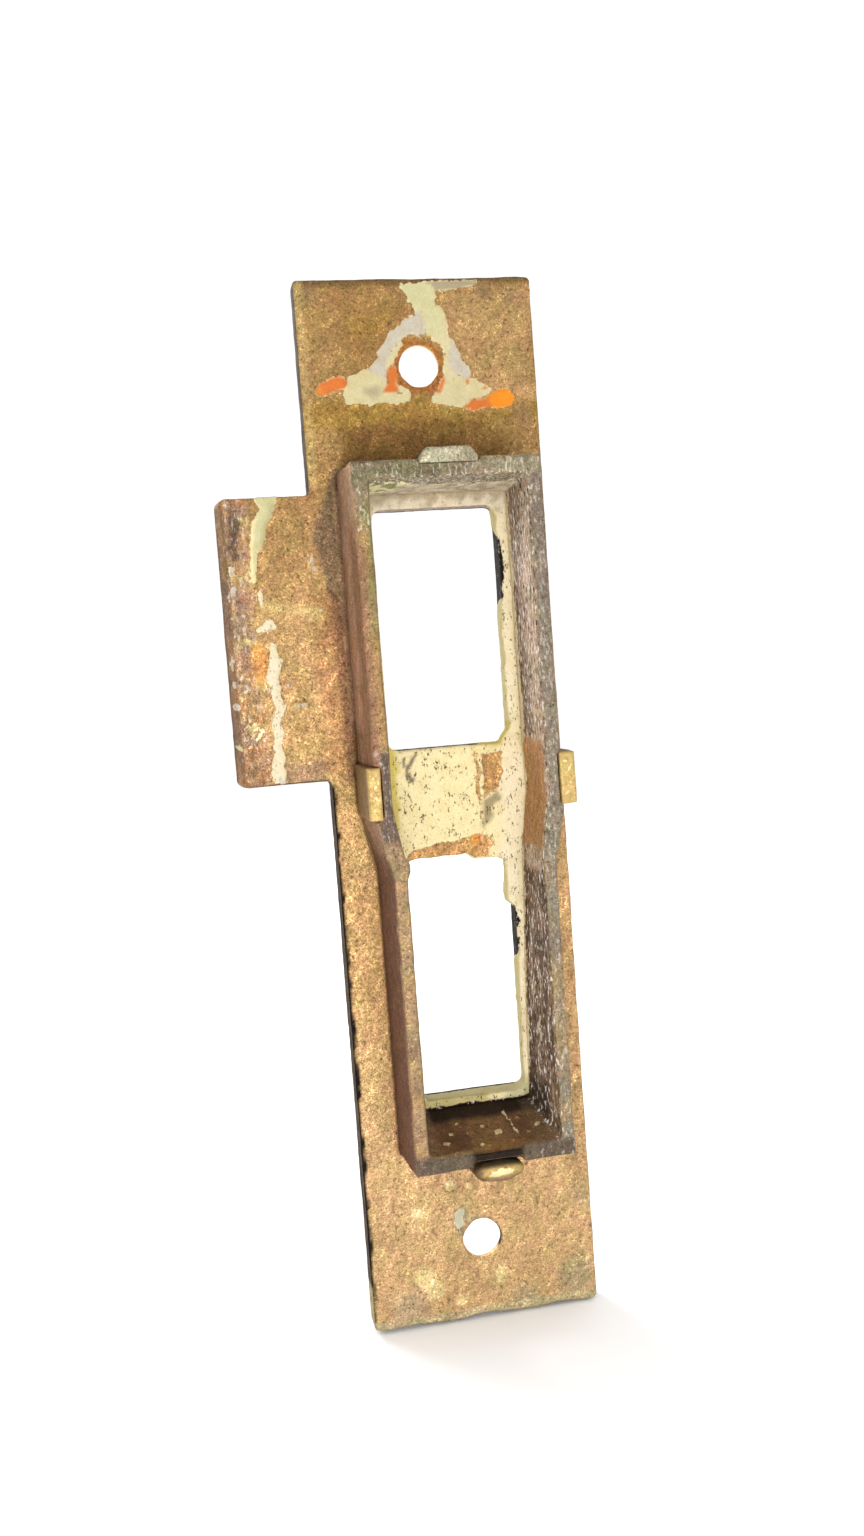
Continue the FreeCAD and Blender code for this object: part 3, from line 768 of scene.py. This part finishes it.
def frame_patina(skin):
    """Mauve, brown and sooty dark on the box's walls, painted shade in its creases and corners, grey-green
    and tan on its rim.
    """
    x, y, z = skin.x, skin.y, skin.z
    nx, ny, nz = skin.normals.T
    drift = skin.noise(3, 141)
    streaks = skin.noise(1, 151, 3, (1, 1, 4))
    skin.metal[:] = grey_tan
    inner = block(x, z, (-8.7, 9.9), (-39.6, 39.4))
    rim = -ny - 0.6
    outer_left = all_of(-nx - 0.5, -8 - x)
    skin.wash(outer_left, shaded(148, 119, 104), 0.2)
    skin.wash([outer_left, 0.6 * drift, z], shaded(150, 112, 84), 0.4, 0.6)
    skin.wash([outer_left, 11 - z + 0.6 * drift], shaded(112, 86, 68), 0.8, 0.8)
    skin.wash([12 * (-nx - 0.5), -7 - x, -z - 3 + 0.8 * drift], shaded(88, 61, 48), 2.2)
    # Painted shade: near black along the foot of the outer left wall
    skin.wash([outer_left, y + 1.4 + 0.6 * drift], near_black, 0.8, 0.25)
    skin.wash([nx - 0.5, x - 8], mauve, 0.2)
    skin.wash([np.abs(nz) - 0.5, np.abs(z) - 40.5], tone(132, 104, 80), 0.2, 0.9)
    right_wall = all_of(-nx - 0.5, x - 5)
    skin.wash(right_wall, wall_mauve, 0.2)
    skin.wash([right_wall, 0.5 * streaks], shaded(140, 114, 98), 0.4, 0.8)
    skin.speckle([right_wall, 0.6 + 0.5 * drift], 0.95)
    skin.wash([right_wall, 0.6 * streaks - 0.2, -2.5 - y], shaded(180, 166, 152), 0.4, 0.4)
    brown_band = all_of(right_wall, band(z, -4.4, 8.4) + 0.3 * drift, y + 8 + 0.5 * drift)
    skin.wash(brown_band, wall_brown, 0.3, 0.95)
    skin.clean(brown_band, -0.3, 0.3, 0.85)
    lower_wall = all_of(right_wall, -7 - z + 0.5 * drift)
    skin.wash(lower_wall, wall_dark, 0.5, 0.95)
    skin.wash([lower_wall, 0.5 * skin.noise(1.6, 157, 3, (1, 1, 2))], shaded(70, 50, 36), 0.3, 0.8)
    upper_streak = all_of(right_wall, z - 8.6, band(y, -4.6, -1.2) + 0.8 * streaks)
    skin.wash(upper_streak, shaded(112, 92, 80), 0.6, 0.8)
    skin.wash([right_wall, -7 - z, 0.6 * streaks - 0.4], shaded(168, 146, 124), 0.15, 0.6)
    left_wall = all_of(nx - 0.5, -x - 4)
    skin.wash(left_wall, tone(158, 136, 118), 0.2)
    skin.wash([left_wall, 0.5 * streaks], tone(150, 112, 76), 0.4, 0.7)
    top_wall = all_of(-nz - 0.5, z - 35)
    skin.wash(top_wall, tone(196, 180, 154), 0.2)
    skin.wash([top_wall, -6 - y + 0.8 * drift], tone(158, 146, 120), 0.8, 0.8)
    skin.speckle(top_wall, 0.8)
    bottom_wall = all_of(nz - 0.4, -34 - z, inner)
    skin.wash(bottom_wall, shaded(92, 66, 40), 0.2)
    skin.wash([bottom_wall, 0.5 * drift, np.abs(x - 0.6) - 2.5], shaded(62, 42, 26), 0.5, 0.7)
    # Painted shade: near black along the foot of the bottom wall and in the lower inner corner of the right
    # wall
    skin.wash([bottom_wall, y + 2.5 + 0.4 * drift], near_black, 0.6, 0.9)
    skin.wash([right_wall, -33.5 - z, y + 5.5], near_black, 1.4, 0.9)
    skin.wash([rim, z - 38.6], grey_green, 0.3)
    skin.wash([rim, band(z, 39, 40.2) + 0.5 * drift, band(x, -6, -0.5)], tone(112, 100, 78), 0.6, 0.7)
    skin.speckle([rim, z - 33], 0.3)
    skin.speckle([rim, x - 6], 0.26)
    skin.speckle([rim, band(z, -2.4, 8.6), -5 - x], 0.24)
    skin.wash([rim, z - 38.6, x - 3], grey_light, 1.5, 0.8)
    rim_left = all_of(rim, -6 - x)
    skin.wash([rim_left, band(z, 8.8, 36) + 0.6 * drift], tone(182, 146, 102), 0.6)
    skin.wash([rim_left, z - 34.5], grey_green, 1.5)
    skin.wash([rim_left, band(z, 22, 36), x + 9.4 + 0.3 * drift], tone(148, 140, 98), 0.5, 0.8)
    skin.wash([rim_left, band(z, -1.8, 8.4) + 0.4 * drift], tone(118, 102, 92), 0.4)
    skin.wash([rim_left, -2.2 - z + 0.8 * drift], tone(168, 142, 114), 0.6, 0.95)
    skin.wash([rim_left, -6 - z, 0.7 * skin.noise(1.6, 177)], tone(196, 160, 116), 0.4, 0.7)
    rim_right = all_of(rim, x - 6)
    skin.wash([rim_right, 39 - z], tone(152, 139, 125), 0.4)
    skin.wash([rim_right, -6 - z, 0.8 * drift], tone(184, 156, 118), 0.5, 0.7)
    skin.wash([rim, -38.9 - z], tone(114, 99, 88), 0.3)
    rim_edge = all_of(0.75 - np.abs(ny), -8.2 - y, 0.3 * drift)
    skin.wash(rim_edge, brass_pale, 0.2, 0.45)
    outer_edge = all_of(6 * (-9.64 - x), band(z, 3, 33) + 1.5 * drift, -5 - y + 0.9 * drift)
    skin.wash(outer_edge, shaded(116, 88, 70), 1, 0.85)
    # Painted shadow: near black in the rim's notch above the bottom lug
    notch = all_of(block(x, z, (-2.2, 3.9), (-40.4, -39)), rim)
    skin.wash(notch, near_black, 0.35, 0.9)


def frame_paint(skin):
    """Cream paint on the inner walls, a thick chip of it in the upper corner, drops and flecks."""
    x, y, z = skin.x, skin.y, skin.z
    nx, _, nz = skin.normals.T
    top_wall = all_of(-nz - 0.5, z - 35)
    sill = all_of(nz - 0.3, -34 - z)
    ragged = skin.noise(1.8, 161)
    inner = block(x, z, (-8.9, 10.1), (-39.6, 39.4))
    upper_right = all_of(band(z, 8, 34), x - 5)
    creep = y + 0.45 + 0.35 * ragged + 0.6 * ramp(upper_right, -1, 1)
    skin.coat([creep, inner, z + 35.2], cream_pink)
    crumbs = skin.noise(0.9, 167)
    chip = stroke(x, y, [(-7.8, -5.6), (-6.5, -4), (-4.7, -6.2)], [2.5, 1.9, 0.7]) + 0.8 * crumbs
    chip = all_of(chip, -nz - 0.4, z - 35, inner + 0.4)
    skin.coat([top_wall, y + 4.6 + 1.2 * ragged], tone(232, 216, 190), 0.2)
    skin.tint([top_wall, -2.4 - y + 1.2 * ragged], tone(220, 204, 178), 1.4, 0.8)
    skin.tint([top_wall, 0.6 * skin.noise(0.8, 173) - 0.12], tone(150, 134, 106), 0.25, 0.6)
    skin.tint([top_wall, 0.5 * skin.noise(1.4, 171) - 0.2], tone(188, 172, 144), 0.3, 0.7)
    skin.coat(chip, tone(248, 242, 190))
    skin.tint([chip + 0.3, -0.8 * crumbs - 0.1], tone(120, 110, 66), 0.15, 0.8)
    skin.offset += 0.15 * ramp(chip, -0.1, 0.2)
    spots = [
        (-4.9, -6.6, 0.42), (-2.8, -3.2, 0.24), (1.6, -5.6, 0.46), (6.6, -5.2, 0.4), (-2, -5, 0.17),
        (0, -4.3, 0.2), (4.6, -3.6, 0.2), (5.2, -6.3, 0.2), (-0.8, -7.4, 0.2), (-3.9, -4.9, 0.17),
        (3, -7.5, 0.2),
    ]
    for place_x, place_y, radius in spots:
        spot = dot(x, y, place_x, place_y, radius) + 0.12 * ragged
        skin.coat([spot, sill], tone(196, 172, 122))
    scratch = stroke(x, y, [(3.2, -2), (3.9, -6.6)], 0.12)
    skin.coat([scratch, sill], tone(190, 172, 140))
    flecks = [
        (-25.3, -4.2, 0.3), (-26.4, -3.6, 0.35), (-27.3, -4.4, 0.25), (-13.5, -3.2, 0.2),
        (-18, -5, 0.18), (-22.4, -2.6, 0.2), (-5.6, -3, 0.35), (-6.2, -2, 0.3),
    ]
    for place_z, place_y, radius in flecks:
        fleck = stroke(z, y, [(place_z, place_y), (place_z - 0.8, place_y + 0.2)], radius) + 0.12 * ragged
        skin.coat([fleck, -nx - 0.4, x - 5], tone(206, 196, 182))


def make_frame():
    """Box frame: its patina, paint and painted shade, and the uneven edges of its rim."""
    piece = dense_copy("box_frame", "frame_casting", frame_voxel)
    skin = Skin(piece, "box_frame")
    frame_patina(skin)
    frame_paint(skin)
    cast_relief(skin, 201)
    bulge = dot(skin.x, skin.z, -7.2, -5, 0.9)
    skin.shift[:, 0] += 0.35 * ramp(bulge, -0.6, 0.6) * ramp(-skin.y, 6.5, 8.2)
    inner_lip = ramp(-skin.y, 7.2, 8.4) * ramp(skin.normals[:, 2], 0.2, 0.7) * ramp(-skin.z, 36, 38)
    notch = ramp(band(skin.x, -2, 3.7), -0.3, 0.3)
    skin.shift[:, 2] += inner_lip * (0.25 * skin.noise(2.5, 211) - 0.5 * notch)
    outer_low = ramp(-skin.normals[:, 2], 0.3, 0.7) * ramp(-skin.z, 40.2, 41) * ramp(-skin.y, 5.5, 8.4)
    skin.shift[:, 2] += outer_low * 0.3 * (skin.noise(4, 221) + 1) / 2
    skin.finish()
    return piece


# ---- lugs

def lug_patina(skin, colour, seed):
    """Tarnished shank, paler head with worn edges."""
    skin.metal[:] = colour
    drift = skin.noise(1.6, seed)
    head = -skin.y - 7.2
    skin.wash(0.6 * drift - 0.1, colour * 0.72, 0.5, 0.5)
    skin.wash(-head, mauve, 0.5, 0.8)
    side = all_of(0.6 - np.abs(skin.normals[:, 1]), 8 - np.abs(skin.y))
    skin.wash(side, tone(150, 118, 76), 0.3, 0.6)
    skin.wash(skin.y - 2.9, brass_tan, 0.2)
    return drift, head


def make_side_lug(node, name, seed):
    """Lug with a filed flat head: shallow dents and light scratches."""
    piece = dense_copy(node, name, lug_voxel)
    skin = Skin(piece, node)
    drift, head = lug_patina(skin, lug_brass_tone, seed)
    low_z, high_z = skin.low[2], skin.high[2]
    middle = (skin.low[0] + skin.high[0]) / 2
    for share, lean in ((0.25, 0.5), (0.45, -0.4), (0.62, 0.6), (0.8, -0.2)):
        height = low_z + share * (high_z - low_z)
        line = stroke(skin.x, skin.z, [(middle - 0.5, height - lean), (middle + 0.4, height + lean)], 0.03)
        skin.shine([line + 0.06 * drift, head])
    skin.offset -= 0.12 * (skin.noise(1.5, seed + 9, 2) + 1) / 2 * ramp(head, -0.5, 0.3)
    skin.finish()
    return piece


def make_bottom_lug():
    """Lug whose head was hammered into a mound: gold on top, partly a painted highlight, a painted shadow
    along its upper edge, mauve below.
    """
    piece = dense_copy("bottom_clinch_lug", "bottom_lug", lug_voxel, 40)
    skin = Skin(piece, "bottom_clinch_lug")
    drift, head = lug_patina(skin, tone(150, 122, 92), 361)
    top = skin.low[1]
    across = (skin.x - end_lug_middle) / end_lug_half
    up = (skin.z - (skin.low[2] + skin.high[2]) / 2) / ((skin.high[2] - skin.low[2]) / 2)
    outside = ramp(-skin.y, 4, 8)
    skin.shift[:, 0] -= end_lug_half * across * up**2 * mound_squeeze * outside
    skin.shift[:, 2] -= (skin.high[2] - skin.low[2]) / 2 * up * across**2 * mound_squeeze * outside
    skin.shift[:, 1] += mound_fall * (across**2 + up**2) / 2 * ramp(head, 0, 1.8)
    skin.wash([0.55 - (skin.y - top), 0.4 + 0.5 * drift], tone(190, 162, 116), 0.3, 0.9)
    # Gold stroke across the head: partly rubbed metal, partly a painted highlight
    highlight_and_rub = stroke(skin.x, skin.z, [(-0.6, -42), (0.9, -41.6), (3, -41.7)], [0.12, 0.3, 0.16])
    skin.shine([highlight_and_rub + 0.18 * drift - 0.03, head])
    skin.wash([stroke(skin.x, skin.z, [(-0.6, -41.8), (3, -41.6)], 0.7), head], tone(222, 188, 118), 0.5, 0.7)
    skin.wash([-42.2 - skin.z, head], tone(158, 128, 106), 0.4, 0.85)
    # Painted shadow: near black along the head's upper edge, under the frame's rim
    skin.wash([skin.z + 40.95, head], near_black, 0.35, 0.9)
    skin.wash(-1.2 - skin.x + 0.4 * drift, tone(96, 72, 50), 0.6, 0.7)
    skin.offset -= 0.25 * (skin.noise(1.6, 371, 2) + 1) / 2 * ramp(head, -0.5, 0.3)
    skin.finish()
    return piece


def make_top_lug():
    """Lug in the frame's own grey-green patina."""
    piece = dense_copy("top_clinch_lug", "top_lug", lug_voxel, 14)
    skin = Skin(piece, "top_clinch_lug")
    drift, head = lug_patina(skin, grey_green, 391)
    skin.wash(head, tone(190, 183, 156), 0.4, 0.9)
    skin.wash([head, 0.5 * drift], tone(212, 206, 182), 0.4, 0.8)
    skin.speckle(head, 0.2)
    skin.offset -= 0.15 * (skin.noise(1.5, 401, 2) + 1) / 2 * ramp(head, -0.5, 0.3)
    skin.shift[:, 2] -= 0.45 * ramp(skin.low[2] + 0.7 - skin.z, 0, 0.3)
    skin.finish()
    return piece


# ---- materials

def opaque(colour):
    """Colour with full alpha, unless it comes from another node."""
    return colour if isinstance(colour, bpy.types.NodeSocket) else (*colour, 1.0)


class Nodes:
    """The nodes of one material. Places on the piece are in millimetres."""

    def __init__(self, name):
        self.material = bpy.data.materials.new(name)
        self.material.use_nodes = True
        self.tree = self.material.node_tree
        self.tree.nodes.clear()
        self.where = self.scaled(self.add("ShaderNodeTexCoord").outputs["Object"], 1 / mm)

    def add(self, kind, settings=None, **sockets):
        """New node. Its inputs, by name or by number (i0, i1, ...), get values or other nodes' outputs."""
        node = self.tree.nodes.new(kind)
        for key, value in (settings or {}).items():
            setattr(node, key, value)
        for key, value in sockets.items():
            by_number = key[0] == "i" and key[1:].isdigit()
            socket = node.inputs[int(key[1:]) if by_number else key.replace("_", " ")]
            if isinstance(value, bpy.types.NodeSocket):
                self.tree.links.new(value, socket)
            else:
                socket.default_value = value
        return node

    def maths(self, operation, first, second, clamp=False):
        """Sum, product or larger of two values, and so on, held within 0..1 if clamp is set."""
        settings = {"operation": operation, "use_clamp": clamp}
        return self.add("ShaderNodeMath", settings, i0=first, i1=second).outputs[0]

    def times(self, first, second):
        """Product of two values."""
        return self.maths("MULTIPLY", first, second)

    def plus(self, first, second, clamp=False):
        """Sum of two values."""
        return self.maths("ADD", first, second, clamp)

    def total(self, *terms):
        """Sum of outputs, each times its own weight."""
        return functools.reduce(self.plus, [self.times(value, weight) for value, weight in terms])

    def scaled(self, vector, factor):
        """Vector or colour times a number."""
        return self.add("ShaderNodeVectorMath", {"operation": "SCALE"}, i0=vector, Scale=factor).outputs[0]

    def stretched(self, turn, stretch):
        """Places on the piece, turned about Y, then stretched along the turned Z."""
        settings = {"rotation_type": "Y_AXIS"}
        turned = self.add("ShaderNodeVectorRotate", settings, Vector=self.where, Angle=turn)
        scale = (1.0, 1.0, 1 / stretch)
        node = self.add("ShaderNodeVectorMath", {"operation": "MULTIPLY"}, i0=turned.outputs[0], i1=scale)
        return node.outputs[0]

    def noise(self, size, detail, seed, where=None):
        """Noise in 0..1 whose lumps are about `size` millimetres wide."""
        node = self.add(
            "ShaderNodeTexNoise", {"noise_dimensions": "4D"},
            Vector=where or self.where, W=seed, Scale=1 / size, Detail=detail, Roughness=0.55,
        )
        return node.outputs["Fac"]

    def step(self, value, low, high):
        """0 at low, 1 at high, smooth between."""
        settings = {"interpolation_type": "SMOOTHSTEP"}
        node = self.add("ShaderNodeMapRange", settings, Value=value, From_Min=low, From_Max=high)
        return node.outputs["Result"]

    def between(self, share, first, second):
        """Value between two others."""
        return self.add("ShaderNodeMix", {"data_type": "FLOAT"}, i0=share, i2=first, i3=second).outputs[0]

    def mix(self, share, first, second, blend="MIX"):
        """Colour between two others, or with another way to blend them."""
        settings = {"data_type": "RGBA", "blend_type": blend}
        return self.add("ShaderNodeMix", settings, i0=share, i6=opaque(first), i7=opaque(second)).outputs[2]

    def attribute(self, name, output="Fac"):
        """Value that the mesh stores under this name."""
        return self.add("ShaderNodeAttribute", {"attribute_name": name}).outputs[output]

    def surface(self, **sockets):
        """The material, with a shader that has these inputs."""
        shader = self.add("ShaderNodeBsdfPrincipled", None, **sockets)
        self.add("ShaderNodeOutputMaterial", None, Surface=shader.outputs[0])
        return self.material


def bare_metal(nodes, contrast, seed):
    """Colour of the cast brass: sandy grain, slanting strokes, slow drift, painted glints, pits, flecks of
    dirt.
    """
    fine = nodes.noise(0.2, 2.0, seed)
    grain = nodes.noise(0.5, 4.0, seed + 3)
    strokes = nodes.noise(0.9, 4.0, seed + 5, nodes.stretched(stroke_turn, 2.4))
    broad = nodes.noise(3.4, 4.0, seed + 7)
    mixture = nodes.total((fine, 0.38), (grain, 0.30), (strokes, 0.20), (broad, 0.12))
    swing = grain_swing * contrast
    spread = nodes.add(
        "ShaderNodeMapRange", None,
        Value=mixture, From_Min=0.37, From_Max=0.63, To_Min=1 - swing, To_Max=1 + swing,
    )
    metal = nodes.scaled(nodes.attribute("metal_colour", "Color"), spread.outputs["Result"])
    hue = nodes.step(nodes.noise(2.6, 3.0, seed + 9), 0.35, 0.65)
    warm = nodes.mix(1.0, metal, (1.05, 0.97, 0.92), "MULTIPLY")
    olive = nodes.mix(1.0, metal, (0.97, 1.0, 0.84), "MULTIPLY")
    metal = nodes.mix(hue, olive, warm)
    # Painted glints: small bright points where the fine grain and the strokes peak
    peaks = nodes.total((fine, 0.6), (strokes, 0.4))
    painted_glint = nodes.times(nodes.step(peaks, 0.575, 0.65), 0.7 * contrast)
    metal = nodes.mix(painted_glint, metal, nodes.scaled(metal, 1.9))
    hollows = nodes.total((fine, 0.5), (grain, 0.5))
    metal = nodes.mix(nodes.times(nodes.step(hollows, 0.42, 0.335), 0.55), metal, near_black)
    dirt = nodes.noise(0.3, 3.0, seed + 13, nodes.stretched(0.0, 2.6))
    amount = nodes.attribute("fleck")
    metal = nodes.mix(nodes.times(nodes.step(dirt, 0.56, 0.64), amount), metal, fleck_light)
    metal = nodes.mix(nodes.times(nodes.step(dirt, 0.45, 0.37), amount), metal, fleck_dark)
    ragged = nodes.times(nodes.plus(grain, -0.5), 0.8)
    bright = nodes.step(nodes.plus(nodes.attribute("bright_edge"), ragged), -0.06, 0.08)
    return nodes.mix(bright, metal, brass_shine), mixture, bright, fine, grain


def old_paint(nodes, seed):
    """Share, colour and height of the paint: ragged edges, dark specks, chips down to the metal, and dirt."""
    ragged = nodes.plus(nodes.noise(0.6, 4.0, seed), -0.5)
    edge = nodes.plus(nodes.attribute("paint_edge"), nodes.times(ragged, 0.95))
    share = nodes.step(edge, -0.05, 0.06)
    flake = nodes.noise(0.22, 2.0, seed + 2, nodes.stretched(0.0, 1.8))
    clump = nodes.noise(1.3, 2.0, seed + 4)
    speck = nodes.times(nodes.step(flake, 0.59, 0.635), nodes.step(clump, 0.38, 0.54))
    speck = nodes.times(speck, nodes.plus(nodes.attribute("fleck"), 0.12, clamp=True))
    paint = nodes.scaled(nodes.attribute("paint_colour", "Color"), paint_gain)
    broad = nodes.step(nodes.noise(1.4, 5.0, seed + 6), 0.40, 0.66)
    paint = nodes.mix(nodes.times(broad, 0.34), paint, (0.80, 0.72, 0.56), "MULTIPLY")
    dust = nodes.step(nodes.noise(0.25, 2.0, seed + 8), 0.40, 0.62)
    paint = nodes.mix(nodes.times(dust, 0.28), paint, (0.74, 0.68, 0.52), "MULTIPLY")
    rim = nodes.times(nodes.step(edge, 0.16, 0.0), 0.3)
    paint = nodes.mix(rim, paint, (0.55, 0.45, 0.28), "MULTIPLY")
    paint = nodes.mix(nodes.times(speck, 0.9), paint, tone(92, 72, 38))
    height = nodes.plus(nodes.times(speck, -0.03), 0.05)
    return share, paint, height


def old_brass(name, seed, contrast=1.0, metallic=0.55, roughness=0.48, relief=0.05):
    """Rough brass under patches of old paint. The piece's own attributes hold colours and paint edges."""
    nodes = Nodes(name)
    metal, mixture, bright, fine, grain = bare_metal(nodes, contrast, seed)
    paint_share, paint, paint_height = old_paint(nodes, seed + 20)
    colour = nodes.mix(paint_share, metal, paint)
    lightness = nodes.add("ShaderNodeRGBToBW", None, Color=colour).outputs[0]
    dull = nodes.maths("MAXIMUM", paint_share, nodes.step(lightness, 0.12, 0.02))
    rough_metal = nodes.between(nodes.step(mixture, 0.42, 0.6), roughness + 0.12, roughness - 0.06)
    rough_metal = nodes.between(bright, rough_metal, 0.3)
    metal_height = nodes.total((fine, relief), (grain, relief * 2))
    height = nodes.between(paint_share, metal_height, paint_height)
    bump = nodes.add("ShaderNodeBump", None, Strength=1.0, Distance=mm, Height=height)
    return nodes.surface(
        Base_Color=colour,
        Metallic=nodes.between(dull, metallic, 0.0),
        Roughness=nodes.between(dull, rough_metal, 0.75),
        Specular_IOR_Level=0.1,
        Normal=bump.outputs["Normal"],
    )


def plain_floor():
    """Pale matte floor with a barely visible grain."""
    nodes = Nodes("pale_floor")
    grain = nodes.add("ShaderNodeTexNoise", None, Vector=nodes.where, Scale=1 / 25, Detail=4.0)
    colour = nodes.mix(grain.outputs["Fac"], (0.97, 0.97, 0.97), (0.99, 0.99, 0.99))
    return nodes.surface(Base_Color=colour, Roughness=0.9)


# ---- assembly

def fit_out(piece, node, material):
    """Puts the piece in the node's place, on the one body of the part."""
    piece.data.materials.append(material)
    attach(piece, "root")
    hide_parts(node)


def make_pieces():
    """The six pieces, each with its material."""
    fit_out(make_plate(), "strike_plate", old_brass("cast_brass", 1.0))
    casting = old_brass("frame_brass", 51.0, contrast=0.9, metallic=0.4, roughness=0.55)
    fit_out(make_frame(), "box_frame", casting)
    dull = old_brass("lug_brass", 91.0, contrast=0.42, metallic=0.35, roughness=0.5, relief=0.02)
    fit_out(make_side_lug("left_clinch_lug", "left_lug", 301), "left_clinch_lug", dull)
    fit_out(make_side_lug("right_clinch_lug", "right_lug", 331), "right_clinch_lug", dull)
    fit_out(make_bottom_lug(), "bottom_clinch_lug", dull)
    painted = old_brass("lug_painted", 121.0, contrast=0.9, metallic=0.4, roughness=0.55)
    fit_out(make_top_lug(), "top_clinch_lug", painted)


def add_light(name, place, size, power):
    """Round soft light aimed at the middle of the object."""
    light = bpy.data.lights.new(name, "AREA")
    light.shape = "DISK"
    light.size = size
    light.energy = power
    lamp = bpy.data.objects.new(name, light)
    lamp.location = place
    lamp.rotation_mode = "QUATERNION"
    lamp.rotation_quaternion = ((cad_low + cad_high) / 2 - lamp.location).to_track_quat("-Z", "Y")
    lamp.visible_camera = False
    bpy.context.scene.collection.objects.link(lamp)


def make_stage():
    """Floor under the part, white surroundings and two lights."""
    mesh = bpy.data.meshes.new("floor")
    corners = [(-1, -1), (1, -1), (1, 1), (-1, 1)]
    mesh.from_pydata([(x * floor_half, y * floor_half, cad_low.z) for x, y in corners], [], [(0, 1, 2, 3)])
    floor = bpy.data.objects.new("floor", mesh)
    bpy.context.scene.collection.objects.link(floor)
    mesh.materials.append(plain_floor())
    world = bpy.data.worlds.new("studio")
    world.use_nodes = True
    background = world.node_tree.nodes["Background"]
    background.inputs["Color"].default_value = (1.0, 1.0, 1.0, 1.0)
    background.inputs["Strength"].default_value = surroundings
    bpy.context.scene.world = world
    add_light("key", key_place, key_size, key_power)
    add_light("back_fill", fill_place, fill_size, fill_power)


def make_camera():
    """Camera at its distance from the aim, in the photo's direction and with its tilt."""
    back = Vector((
        math.sin(camera_azimuth) * math.cos(camera_elevation),
        -math.cos(camera_azimuth) * math.cos(camera_elevation),
        math.sin(camera_elevation),
    ))
    data = bpy.data.cameras.new("camera")
    data.lens = lens
    data.sensor_width = sensor
    data.clip_start = 0.01
    data.clip_end = 20.0
    camera = bpy.data.objects.new("camera", data)
    camera.location = aim + back * camera_distance
    camera.rotation_mode = "QUATERNION"
    camera.rotation_quaternion = (-back).to_track_quat("-Z", "Y") @ Quaternion((0, 0, 1), camera_roll)
    bpy.context.scene.collection.objects.link(camera)
    bpy.context.scene.camera = camera


bpy.context.scene.view_settings.view_transform = "Standard"
make_pieces()
make_stage()
make_camera()
